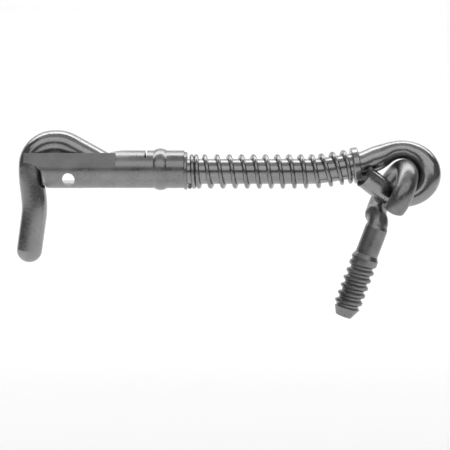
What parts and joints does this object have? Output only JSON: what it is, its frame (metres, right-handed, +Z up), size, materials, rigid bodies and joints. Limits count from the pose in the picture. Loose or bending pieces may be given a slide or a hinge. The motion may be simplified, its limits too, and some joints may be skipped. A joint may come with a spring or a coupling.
{
  "type": "spring-loaded gate hook with screw eye",
  "caption": "Round-bar gate hook whose arm is closed by a spring-loaded sliding keeper sleeve, with a wood-screw eye linked through its closed eye.",
  "frame": {"origin": "corner of the hook, where the shank's centre line crosses the centre line of the down-turned arm", "axes": "+X along the shank from the hook to the eye, +Z up (the arm points down), +Y away from the side on which the eye's cut end lies"},
  "size_m": [0.1687, 0.0292, 0.0745],
  "materials": {
    "rod_steel": "bright zinc plate",
    "sheet_steel": "bright zinc plate",
    "spring_steel": "bright zinc plate",
    "screw_steel": "bright zinc plate, rougher on the thread"
  },
  "bodies": {
    "hook": {"hook_rod": "rod_steel", "stop_collar": "rod_steel", "compression_spring": "spring_steel"},
    "keeper": {"keeper_sleeve": "sheet_steel", "thrust_washer": "sheet_steel"},
    "screw": {"screw_eye": "screw_steel"}
  },
  "joints": [
    {"name": "sleeve_slide", "type": "slide", "parent": "hook", "child": "keeper", "axis": [1, 0, 0], "range_m": [0, 0.024], "stiffness_N_per_m": 400, "springref_m": -0.012, "deforming": ["compression_spring"]},
    {"name": "screw_eye_swing", "type": "hinge", "parent": "hook", "child": "screw", "pos_m": [0.1464, 0, -0.00075], "axis": [-0.1392, 0.9903, 0], "range_deg": [-70, 20]}
  ]
}
